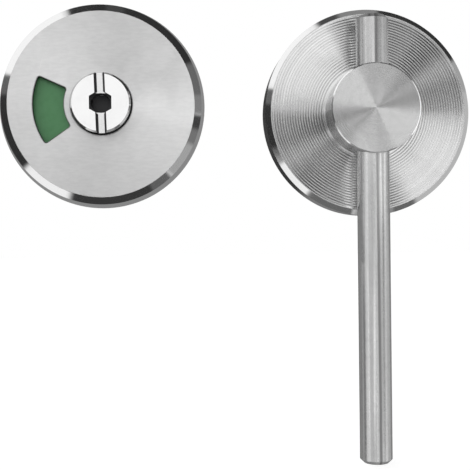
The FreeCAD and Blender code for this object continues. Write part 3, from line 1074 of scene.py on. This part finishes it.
@dataclass
class Studio:
    """The plain white studio: its surround of soft panels, the floor and the camera.

    Attributes:
        ground: How bright the surround is where no panel is.
        back: How bright it is behind the object.
        back_edge: Between which angles from the front it changes, in degrees.
        edge: How soft the near and far sides of the sectors are, in degrees.
        floor_height: Z of the floor in metres.
        floor_reach: Half its width.
        floor_grey: Its own colour, which shows in its shadows.
        floor_glow: How bright it is to the camera and to glossy rays.
        camera_place: Where the camera stands.
        camera_turns: Its tilt, turn and roll in radians.
        lens: Its focal length in millimetres.
        lights: The sectors and cards, each laid over the ones before it.
        panels: The light panels that only some pieces reflect.
    """

    ground: float = 0.62
    back: float = 0.26
    back_edge: tuple[float, float] = (88, 110)
    edge: float = 4.0
    floor_height: float = -0.0885
    floor_reach: float = 1.5
    floor_grey: float = 0.5
    floor_glow: float = 0.86
    camera_place: Place = (-0.04859, -0.22753, -0.02786)
    camera_turns: Place = (0.0119, 0.0660, 0.0124)
    lens: float = 67.5
    lights: tuple[Sector | Card, ...] = (
        *(Sector(TURN, *sector) for sector in (
            (108, 178, 0, 70, 1.06, 5), (115, 176, 26, 70, 1.25, 5), (292, 354, 0, 70, 1.12, 5),
            (296, 357, 26, 70, 1.5, 5), (0, 30, 0, 70, 0.22, 5), (30, 60, 0, 70, 0.01, 5),
            (180, 210, 0, 70, 0.16, 5), (210, 232, 0, 70, 0.3, 5), (62, 108, 0, 60, 0.5, 14),
            (62, 114, 26, 60, 0.08, 8), (230, 290, 0, 60, 1.3, 12), (205, 289, 28, 60, 0.16, 8),
            (254, 290, 20, 30, 0.16, 8), (303, 344, 0, 26, 1.36, 10), (29, 37, 4, 60, 0.5, 8),
            (205, 213, 4, 40, 0.9, 8),
        )),
        Card(0, 112, -18, 1, 0.55),
        Card(-60, -31, 9, 16, 0.62),
        Card(-31, 3, 9, 16, 0.66),
        Card(3, 100, 9, 15, 0.46),
        Card(-180, -168, -16, 14, 0.03, 2),
        Card(168, 180, -16, 14, 0.2, 2),
        *ring(RELEASE, 82, 100, (15, 112, 0.05), (190, 240, 0.05)),
        *ring(
            TURN, 76, 96, (-62, 12, 0.5), (12, 31, 0.38), (31, 84, 0.03), (84, 107, 0.24),
            (107, 119, 0.07), (121, 164, 1.0), (164, 174, 0.16), (174, 200, 0.03),
            (205, 233, 0.95), (233, 262, 0.14), (262, 284, 0.28), (284, 298, 0.13),
        ),
        *ring(
            RELEASE, 56, 73, (22, 109, 0.03), (76, 86, 0.06), (112, 162, 1.0), (163, 174, 0.12),
            (174, 219, 0.03), (222, 249, 0.95), (251, 301, 0.04), (301, 314, 0.12),
            (314, 336, 0.38), (336, 345, 0.18), (345, 354, 0.05), (354, 365, 0.22), (5, 25, 0.14),
        ),
        Sector(RELEASE, 0, 360, 0, 5, 1.0),
    )
    panels: tuple[Panel, ...] = (
        Panel(LEVER, (-0.0120, -0.01975, -0.0555), (0.0057, 0.119), 0.68, TO_RIGHT),
        Panel(LEVER, (-0.0118, -0.01975, 0.0195), (0.0057, 0.031), 0.44, TO_RIGHT),
        Panel(LEVER, (-0.0125, -0.0134, -0.078), (0.0070, 0.080), 0.13, TO_RIGHT),
        Panel(LEVER, (0.0120, -0.0216, -0.040), (0.0050, 0.150), 0.34, TO_LEFT),
        Panel(LEVER, (-0.0167, -0.0300, -0.056), (0.0167, 0.112), 0.4, TO_DOOR),
        Panel(LEVER, (-0.0057, -0.0305, -0.056), (0.0052, 0.112), 0.38, TO_DOOR),
        Panel(LEVER, (-0.0010, -0.0310, -0.056), (0.0042, 0.112), 0.12, TO_DOOR),
        Panel(("ringed_rose",), (0.268, -0.299, -0.060), (0.42, 0.135), 0.6, (-0.66, 0.75, 0.0)),
        Panel(HUB, (0.0137, -0.115, -0.014), (0.0225, 0.039), 0.55, (-0.138, 0.981, 0.139), -15.0),
        Panel(HUB, (0.400, 0.095, 0.050), (0.16, 0.46), 0.7, TO_LEFT),
        Panel(LEFT_ROSE, (-0.107, -0.499, 0.068), (0.58, 0.105), 0.88, (0.08, 0.9883, -0.13), 33.0),
        Panel(LEFT_ROSE, (-0.010, -0.470, 0.064), (0.16, 0.050), 0.5, (-0.08, 0.9883, -0.13)),
        Panel(LEFT_ROSE, (0.206, -0.435, 0.059), (0.25, 0.040), 5.2, (-0.5065, 0.855, -0.112)),
        Panel(BACKS, (-0.034, 0.600, 0.200), (0.80, 0.60), 0.7, (0.0, -0.95, -0.31)),
    )

    def surround(self) -> None:
        """Builds the world: white to the camera, and the panels to everything else."""
        world = bpy.data.worlds.new("studio_surround")
        bpy.context.scene.world = world
        world.use_nodes = True
        g = Graph(world.node_tree)
        output = g.add("ShaderNodeOutputWorld")
        look = g.add("ShaderNodeTexCoord").outputs["Generated"]
        x, y, z = g.split(look)
        front = g.math("MULTIPLY", y, -1.0)
        low, high = (math.radians(angle) for angle in self.back_edge)
        light = g.ramp(g.math("ARCCOSINE", front), low, high, self.ground, self.back)
        found = {toward: self.polar(g, look, toward) for toward in Toward}
        azimuth = g.math("ARCTAN2", x, front)
        elevation = g.math("ARCSINE", z)
        for part in self.lights:
            if isinstance(part, Card):
                mask = self.band(g, azimuth, part.left, part.right, part.soft)
                upright = self.band(g, elevation, part.low, part.high, part.soft)
                mask = g.math("MULTIPLY", mask, upright)
            else:
                mask = self.wedge(g, part, *found[part.about])
            light = g.math("MULTIPLY_ADD", mask, g.math("SUBTRACT", part.light, light), light)
        lit = g.add("ShaderNodeBackground", {"Color": WHITE, "Strength": light})
        white = g.add("ShaderNodeBackground", {"Color": WHITE, "Strength": 1.0})
        seen = g.add("ShaderNodeLightPath").outputs["Is Camera Ray"]
        both = g.add("ShaderNodeMixShader", {0: seen, 1: lit.outputs[0], 2: white.outputs[0]})
        g.feed(output, {0: both.outputs[0]})

    @staticmethod
    def polar(g: Graph, look: Socket, toward: Toward) -> tuple[Socket, Socket]:
        """Finds where a direction lies about another.

        Args:
            g: The world's graph.
            look: The direction.
            toward: What it is compared with.

        Returns:
            The heading as a unit vector in X and Z, and the angle away in radians.
        """
        apart = g.vector("SUBTRACT", look, toward.value)
        heading = g.vector("NORMALIZE", g.vector("MULTIPLY", apart, (1.0, 0.0, 1.0)))
        return heading, g.math("ARCCOSINE", g.vector("DOT_PRODUCT", look, toward.value))

    def wedge(self, g: Graph, sector: Sector, heading: Socket, away: Socket) -> Socket:
        """A mask that is 1 inside a sector.

        Args:
            g: The world's graph.
            sector: The sector.
            heading: The heading about the sector's direction.
            away: The angle away from it.

        Returns:
            The mask.
        """
        mask = self.band(g, away, sector.near or -9.0, sector.far, self.edge)
        if sector.end - sector.start >= 360:
            return mask
        middle = math.radians((sector.start + sector.end) / 2)
        spread = (sector.end - sector.start) / 2
        near = g.vector("DOT_PRODUCT", heading, (math.cos(middle), 0.0, math.sin(middle)))
        wide = math.cos(math.radians(min(178.0, spread + sector.soft / 2)))
        tight = math.cos(math.radians(max(0.3, spread - sector.soft / 2)))
        return g.math("MULTIPLY", mask, g.ramp(near, wide, tight))

    @staticmethod
    def band(g: Graph, angle: Socket, low: float, high: float, soft: float) -> Socket:
        """A mask that is 1 between two angles.

        Args:
            g: The world's graph.
            angle: The angle in radians.
            low: The lower angle in degrees.
            high: The upper angle.
            soft: How soft the edges are.

        Returns:
            The mask.
        """
        half = soft / 2
        rise = g.fade(angle, (low - half, low + half))
        return g.math("MULTIPLY", rise, g.fade(angle, (high + half, high - half)))

    def floor(self) -> None:
        """Lays the pale floor under the lever's end."""
        mesh = bpy.data.meshes.new("pale_floor")
        work = bmesh.new()
        bmesh.ops.create_grid(work, x_segments=1, y_segments=1, size=self.floor_reach)
        bmesh.ops.translate(work, verts=work.verts, vec=(0.0, 0.0, self.floor_height))
        work.to_mesh(mesh)
        work.free()
        thing = placed("pale_floor", mesh)
        made = bpy.data.materials.new("pale_floor")
        made.use_nodes = True
        g = Graph(made.node_tree)
        output = g.add("ShaderNodeOutputMaterial")
        path = g.add("ShaderNodeLightPath").outputs
        seen = g.math("MAXIMUM", path["Is Camera Ray"], path["Is Glossy Ray"])
        glow = g.math("MULTIPLY", seen, self.floor_glow)
        paper = g.add("ShaderNodeBsdfDiffuse", {"Color": (*(self.floor_grey,) * 3, 1.0)})
        shine = g.add("ShaderNodeEmission", {"Color": WHITE, "Strength": glow})
        both = g.add("ShaderNodeAddShader", {0: paper.outputs[0], 1: shine.outputs[0]})
        g.feed(output, {0: both.outputs[0]})
        mesh.materials.append(made)
        thing.visible_glossy = False

    def hang(self, panel: Panel) -> None:
        """Hangs a light panel.

        Args:
            panel: The panel.
        """
        data = bpy.data.lights.new(panel.pieces[0] + "_panel", "AREA")
        data.shape = "RECTANGLE"
        data.size, data.size_y = panel.size
        data.energy = panel.light * math.pi * panel.size[0] * panel.size[1]
        thing = placed(data.name, data)
        lean = Matrix.Rotation(math.radians(panel.lean), 3, "Z")
        turn = (-Vector(panel.facing)).to_track_quat("Z", "Y").to_matrix() @ lean
        thing.matrix_world = Matrix.Translation(panel.place) @ turn.to_4x4()
        thing.visible_camera = False
        lit = bpy.data.collections.new("lit_" + data.name)
        for name in panel.pieces:
            lit.objects.link(bpy.data.objects[name])
        thing.light_linking.receiver_collection = lit

    def camera(self) -> None:
        """Sets the camera where the photograph was taken from."""
        tilt, turn, roll = self.camera_turns
        about = Matrix.Rotation(roll, 3, "Z") @ Matrix.Rotation(tilt, 3, "X")
        about = about @ Matrix.Rotation(turn, 3, "Y")
        upright = Matrix(((1, 0, 0), (0, 0, -1), (0, 1, 0)))
        data = bpy.data.cameras.new("studio_camera")
        data.lens = self.lens
        data.sensor_width = 36.0
        data.clip_start = 0.01
        thing = placed("studio_camera", data)
        turned = (upright @ about.transposed()).to_4x4()
        thing.matrix_world = Matrix.Translation(self.camera_place) @ turned
        bpy.context.scene.camera = thing

    def build(self) -> None:
        """Builds the studio."""
        self.surround()
        self.floor()
        for panel in self.panels:
            self.hang(panel)
        self.camera()
        bpy.context.scene.view_settings.view_transform = "Standard"


def main() -> None:
    """Builds the lock's two halves and their studio."""
    logging.basicConfig(level=logging.INFO, format="%(name)s: %(message)s")
    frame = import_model()
    shop = Workshop(frame)
    InsideHalf(shop, Lathe()).build()
    OutsideHalf(shop).build()
    Studio().build()
    log.info("%d finishes", len(shop.made))


if __name__ == "__main__":
    main()
